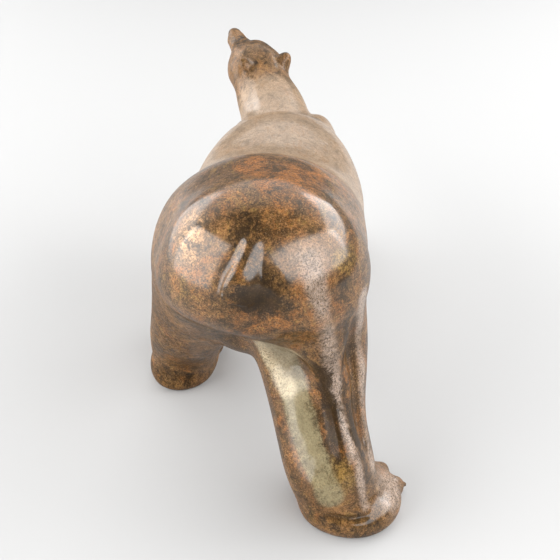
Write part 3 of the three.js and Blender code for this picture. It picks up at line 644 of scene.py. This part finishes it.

# ---------------------------------------------------------------- the patina, with painted shade, sheen and highlights


class Nodes:
    """Short ways to write shader nodes."""

    def __init__(self, name):
        self.material = bpy.data.materials.new(name)
        self.material.use_nodes = True
        self.tree = self.material.node_tree
        self.tree.nodes.clear()

    def add(self, kind, **settings):
        n = self.tree.nodes.new("ShaderNode" + kind)
        for k, v in settings.items():
            setattr(n, k, v)
        return n

    def put(self, node, socket, value):
        s = node.inputs[socket]
        if isinstance(value, bpy.types.NodeSocket):
            self.tree.links.new(value, s)
        else:
            s.default_value = value

    def math(self, op, a, b=0.0, c=None, clamp=False):
        n = self.add("Math", operation=op, use_clamp=clamp)
        self.put(n, 0, a)
        self.put(n, 1, b)
        if c is not None:
            self.put(n, 2, c)
        return n.outputs[0]

    def noise(self, vec, scale, detail=3.0, rough=0.55, distort=0.0, lac=2.0):
        n = self.add("TexNoise")
        self.put(n, "Vector", vec)
        self.put(n, "Scale", scale)
        self.put(n, "Detail", detail)
        self.put(n, "Roughness", rough)
        self.put(n, "Lacunarity", lac)
        self.put(n, "Distortion", distort)
        return n.outputs["Fac"]

    def move(self, vec, loc=(0, 0, 0), rot=(0, 0, 0), scale=(1, 1, 1)):
        n = self.add("Mapping")
        self.put(n, "Vector", vec)
        n.inputs["Location"].default_value = loc
        n.inputs["Rotation"].default_value = rot
        n.inputs["Scale"].default_value = scale
        return n.outputs[0]

    def ramp(self, fac, lo, hi, a=0.0, b=1.0, smooth=True):
        n = self.add("MapRange", interpolation_type="SMOOTHSTEP" if smooth else "LINEAR", clamp=True)
        self.put(n, "Value", fac)
        self.put(n, "From Min", lo)
        self.put(n, "From Max", hi)
        self.put(n, "To Min", a)
        self.put(n, "To Max", b)
        return n.outputs[0]

    def mix(self, fac, a, b, blend="MIX"):
        n = self.add("Mix", data_type="RGBA", blend_type=blend, clamp_factor=True)
        self.put(n, 0, fac)
        self.put(n, 6, a)
        self.put(n, 7, b)
        return n.outputs[2]

    def attr(self, name):
        return self.add("Attribute", attribute_name=name).outputs["Fac"]


def srgb(r, g, b):
    return tuple(((c / 255 + 0.055) / 1.055) ** 2.4 if c > 10 else c / 255 / 12.92 for c in (r, g, b)) + (1.0,)


def bronze():
    N = Nodes("patinated_bronze_with_painted_light")
    here = N.add("TexCoord").outputs["Object"]
    # large drifting fields, bent by a slower noise so that nothing runs straight
    big = N.noise(here, 19.0, 4.0, 0.55, 0.9)
    big2 = N.noise(N.move(here, (3.1, 1.7, 5.2)), 34.0, 5.0, 0.6, 1.4)
    mid = N.noise(N.move(here, (7.0, 2.0, 1.0)), 95.0, 5.0, 0.64, 0.8)
    wisp = N.noise(N.move(here, (1.0, 9.0, 4.0), (0.3, 0.2, 0.5), (1.0, 2.6, 2.2)), 62.0, 6.0, 0.68, 1.8)
    veins = N.noise(N.move(here, (5.0, 3.0, 8.0), (0.1, 0.4, 0.2), (2.4, 1.0, 2.0)), 90.0, 5.0, 0.7, 2.6)
    fine = N.noise(N.move(here, (4.0, 4.0, 9.0)), 430.0, 4.0, 0.74)
    grain = N.noise(N.move(here, (2.0, 8.0, 3.0)), 1050.0, 3.0, 0.8)
    spots = N.noise(N.move(here, (9.0, 2.0, 6.0)), 210.0, 5.0, 0.72, 0.6)
    light_grain = N.noise(N.move(here, (6.0, 1.0, 2.0)), 1300.0, 2.0, 0.7)
    large = N.attr("bulge_large")

    def zone(name, field, spread, lo=0.35, hi=0.65, top=1.0):
        """A zone with a ragged border that follows one of the noises."""
        f = N.math("MULTIPLY_ADD", field, spread, -spread / 2)
        return N.ramp(N.math("ADD", N.attr(name), f), lo, hi, 0.0, top)

    umber = srgb(86, 61, 38)
    brown = srgb(126, 91, 56)
    orange = srgb(162, 102, 50)
    ochre = srgb(148, 118, 66)
    olive = srgb(64, 48, 20)
    # soot-dark patina for the patches, veins, grain and pits, and also the colour of the painted shade
    soot_and_painted_shade = srgb(44, 30, 13)
    # painted sheen, partly patina
    tan_painted_sheen = srgb(158, 136, 112)
    # painted highlight
    sage_painted_highlight = srgb(138, 128, 98)
    # painted highlight
    bone_painted_highlight = srgb(192, 177, 146)
    # painted highlight
    lilac_painted_highlight = srgb(168, 150, 136)
    # the pale grain of the patina, and also the painted highlight on the rump
    cream_grain_and_highlight = srgb(204, 160, 116)

    col = N.mix(N.ramp(big, 0.38, 0.62), umber, brown)
    col = N.mix(N.ramp(big2, 0.50, 0.68, 0.0, 0.62), col, orange)
    col = N.mix(N.ramp(wisp, 0.52, 0.70, 0.0, 0.60), col, ochre)
    col = N.mix(zone("zone_orange", big2, 1.5, 0.35, 0.75, 0.75), col, orange)
    col = N.mix(zone("zone_ochre", mid, 1.6, 0.35, 0.75, 0.75), col, ochre)
    # painted sheen, partly patina: the top of the back and the neck are paler
    col = N.mix(zone("zone_pale_painted_sheen", big2, 0.9, 0.15, 0.75, 0.82), col, tan_painted_sheen)
    streak = N.math("MULTIPLY", N.ramp(wisp, 0.50, 0.66), N.attr("zone_pale_painted_sheen"))
    col = N.mix(N.math("MULTIPLY", streak, 0.45), col, brown)
    # painted highlights in sage, cream, bone and lilac, where the softboxes are mirrored
    col = N.mix(zone("zone_green_painted_highlight", mid, 0.45, 0.28, 0.58, 0.88), col, sage_painted_highlight)
    col = N.mix(zone("zone_cream_painted_highlight", mid, 0.9, 0.25, 0.80, 0.8), col, cream_grain_and_highlight)
    col = N.mix(zone("zone_bone_painted_highlight", mid, 0.5, 0.30, 0.70, 0.85), col, bone_painted_highlight)
    col = N.mix(zone("zone_lilac_painted_highlight", mid, 0.5, 0.25, 0.75, 0.85), col, lilac_painted_highlight)
    # dark mottling and veins, thinner over the painted sheen and the painted highlights
    quiet = N.math("SUBTRACT", 1.0, N.math("MULTIPLY", N.attr("zone_pale_painted_sheen"), 0.72))
    calm = N.math("SUBTRACT", 1.0, N.math("MULTIPLY", N.math("ADD", N.attr("zone_green_painted_highlight"), N.math("ADD", N.attr("zone_lilac_painted_highlight"), N.attr("zone_bone_painted_highlight")), clamp=True), 0.85))
    strength = N.math("MULTIPLY", quiet, calm)
    blot = N.math("MULTIPLY", N.ramp(mid, 0.47, 0.60), N.ramp(wisp, 0.58, 0.42), clamp=True)
    col = N.mix(N.math("MULTIPLY", N.math("MULTIPLY", blot, 0.9), strength), col, olive)
    patches = N.math("MULTIPLY", N.ramp(spots, 0.52, 0.62), N.ramp(big2, 0.62, 0.40, 0.25, 1.0), clamp=True)
    col = N.mix(N.math("MULTIPLY", N.math("MULTIPLY", patches, 0.8), strength), col, soot_and_painted_shade)
    vein = N.ramp(N.math("ABSOLUTE", N.math("SUBTRACT", veins, 0.5)), 0.045, 0.0, 0.0, 0.85)
    col = N.mix(N.math("MULTIPLY", N.math("MULTIPLY", vein, N.ramp(big2, 0.36, 0.50)), strength), col, soot_and_painted_shade)
    # painted shade, with some dark patina: the zones where shade falls are darkened
    col = N.mix(zone("zone_painted_shade_and_dark_patina", spots, 2.2, 0.28, 0.74, 0.93), col, soot_and_painted_shade)
    # painted shade: the hollows of the form are darkened
    col = N.mix(N.ramp(large, -0.03, -0.09, 0.0, 0.5), col, soot_and_painted_shade)
    # grain of the patina
    softer = N.math("SUBTRACT", 1.0, N.math("MULTIPLY", N.math("MAXIMUM", N.attr("zone_pale_painted_sheen"), N.attr("zone_green_painted_highlight")), 0.62))
    col = N.mix(N.math("MULTIPLY", N.ramp(fine, 0.50, 0.66, 0.0, 0.62), strength), col, olive)
    col = N.mix(N.math("MULTIPLY", N.ramp(grain, 0.47, 0.62, 0.0, 0.78), softer), col, soot_and_painted_shade)
    lit = N.math("SUBTRACT", 1.0, N.math("MULTIPLY", N.attr("zone_painted_shade_and_dark_patina"), 0.85), clamp=True)
    col = N.mix(N.math("MULTIPLY", N.ramp(light_grain, 0.53, 0.72, 0.0, 0.34), N.math("MULTIPLY", softer, lit)), col, cream_grain_and_highlight)
    # small casting pits
    cell = N.add("TexVoronoi")
    N.put(cell, "Vector", here)
    N.put(cell, "Scale", 130.0)
    chance = N.add("SeparateColor")
    N.tree.links.new(cell.outputs["Color"], chance.inputs[0])
    pit = N.math("MULTIPLY", N.ramp(cell.outputs["Distance"], 0.085, 0.045),
                 N.ramp(chance.outputs[0], 0.70, 0.72, 0.0, 1.0), clamp=True)
    col = N.mix(N.math("MULTIPLY", pit, 0.9), col, soot_and_painted_shade)
    # uneven depth of the patina
    depth = N.add("HueSaturation")
    depth.inputs["Saturation"].default_value = 1.04
    N.put(depth, "Fac", strength)
    N.put(depth, "Value", N.math("MULTIPLY", N.ramp(mid, 0.34, 0.66, 1.28, 0.74, False), N.ramp(spots, 0.35, 0.65, 1.16, 0.86, False)))
    N.put(depth, "Color", col)
    col = depth.outputs[0]

    out = N.add("OutputMaterial")
    sh = N.add("BsdfPrincipled")
    N.tree.links.new(sh.outputs[0], out.inputs["Surface"])
    N.put(sh, "Base Color", col)
    sh.inputs["Metallic"].default_value = 0.15
    sh.inputs["Specular IOR Level"].default_value = 0.12
    # the wax is rubbed off where the skin turns away, so the edges are not washed out
    turned = N.add("LayerWeight")
    turned.inputs["Blend"].default_value = 0.5
    edge = N.ramp(turned.outputs["Facing"], 0.45, 0.95, 1.0, 0.42)
    N.put(sh, "Coat Weight", N.math("MULTIPLY", edge, N.attr("wax")))
    N.put(sh, "Coat Roughness", N.ramp(big2, 0.40, 0.60, 0.11, 0.19))
    sh.inputs["Coat IOR"].default_value = 1.5
    N.put(sh, "Roughness", N.ramp(fine, 0.3, 0.7, 0.45, 0.62))
    bump = N.add("Bump")
    bump.inputs["Strength"].default_value = 0.22
    bump.inputs["Distance"].default_value = 0.0002
    height = N.math("ADD", N.math("MULTIPLY", fine, 0.6), N.math("MULTIPLY", grain, 0.4))
    N.put(bump, "Height", N.math("SUBTRACT", height, pit))
    N.put(sh, "Normal", bump.outputs[0])
    return N.material


mesh.materials.clear()
mesh.materials.append(bronze())
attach(bear, "root")
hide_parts("polar_bear")

# ---------------------------------------------------------------- floor, light, camera

floor_mesh = bpy.data.meshes.new("floor")
floor_mesh.from_pydata([(-6, -6, 0), (6, -6, 0), (6, 6, 0), (-6, 6, 0)], [], [(0, 1, 2, 3)])
floor = bpy.data.objects.new("floor", floor_mesh)
bpy.context.scene.collection.objects.link(floor)
white = bpy.data.materials.new("floor_white")
white.use_nodes = True
w = white.node_tree.nodes["Principled BSDF"]
w.inputs["Base Color"].default_value = (0.455, 0.455, 0.454, 1)
w.inputs["Roughness"].default_value = 0.9
w.inputs["Specular IOR Level"].default_value = 0.1
floor_mesh.materials.append(white)


def panel(name, azimuth, elevation, distance, width, height, radiance, target=(-0.08, 0.0, 0.1), colour=(1, 1, 1)):
    """A softbox, seen from the figure at an azimuth (from +X towards +Y) and elevation in degrees."""
    a, e = math.radians(azimuth), math.radians(elevation)
    d = Vector((math.cos(a) * math.cos(e), math.sin(a) * math.cos(e), math.sin(e)))
    light = bpy.data.lights.new(name, "AREA")
    light.shape = "RECTANGLE"
    light.size, light.size_y = width, height
    light.energy = radiance * math.pi * width * height
    light.color = colour
    o = bpy.data.objects.new(name, light)
    o.location = Vector(target) + d * distance
    o.rotation_euler = d.to_track_quat("Z", "Y").to_euler()
    bpy.context.scene.collection.objects.link(o)
    return o


panel("softbox_left", 112, 19, 1.5, 1.68, 1.25, 5.9)
panel("softbox_left_front", 57, 15, 1.5, 1.5, 1.1, 2.8)
panel("softbox_right", -126, 27, 1.6, 2.7, 0.85, 5.7)
panel("softbox_right_front", -61, 29, 1.6, 1.7, 0.75, 4.8)
# a lamp over the far floor, too soft to be mirrored
over = panel("over_floor", 8, 52, 2.6, 2.2, 1.6, 1.5)
over.visible_glossy = False

# the room: dim behind the camera, a bright sweep in front that starts above the horizon
world = bpy.data.worlds.new("studio")
bpy.context.scene.world = world
world.use_nodes = True
wt = world.node_tree
wt.nodes.clear()


def world_node(kind, **settings):
    n = wt.nodes.new("ShaderNode" + kind)
    for k, v in settings.items():
        setattr(n, k, v)
    return n


def world_ramp(source, lo, hi, a, b):
    n = world_node("MapRange", interpolation_type="SMOOTHSTEP", clamp=True)
    wt.links.new(source, n.inputs["Value"])
    for k, v in (("From Min", lo), ("From Max", hi), ("To Min", a), ("To Max", b)):
        n.inputs[k].default_value = v
    return n.outputs[0]


axes = world_node("SeparateXYZ")
wt.links.new(world_node("TexCoord").outputs["Generated"], axes.inputs[0])
ahead = world_ramp(axes.outputs["X"], -0.1, 0.45, 0.0, 1.0)
up = world_ramp(axes.outputs["Z"], 0.20, 0.45, 0.10, 1.0)
higher = world_ramp(axes.outputs["Z"], 0.40, 0.75, 1.3, 1.45)
sweep = world_node("Math", operation="MULTIPLY")
wt.links.new(up, sweep.inputs[0])
wt.links.new(higher, sweep.inputs[1])
sweep2 = world_node("Math", operation="MULTIPLY_ADD")
wt.links.new(sweep.outputs[0], sweep2.inputs[0])
wt.links.new(ahead, sweep2.inputs[1])
sweep2.inputs[2].default_value = 0.09
wb = world_node("Background")
wb.inputs[0].default_value = (1, 1, 1, 1)
wt.links.new(sweep2.outputs[0], wb.inputs[1])
wt.links.new(wb.outputs[0], world_node("OutputWorld").inputs[0])

cam_data = bpy.data.cameras.new("camera")
cam_data.sensor_fit = "HORIZONTAL"
cam_data.sensor_width = 36
cam_data.lens = 36 * 880 / 560
cam = bpy.data.objects.new("camera", cam_data)
cam.location = (np.array([-392.7, -11.45, 362.8]) - SHIFT) / 1000
cam.rotation_euler = (math.radians(90 - 31.5), 0, math.radians(-90))
bpy.context.scene.collection.objects.link(cam)
bpy.context.scene.camera = cam
bpy.context.scene.view_settings.view_transform = "Standard"
bpy.context.scene.view_settings.look = "None"
bpy.context.scene.view_settings.exposure = 0.0
bpy.context.scene.view_settings.gamma = 1.0
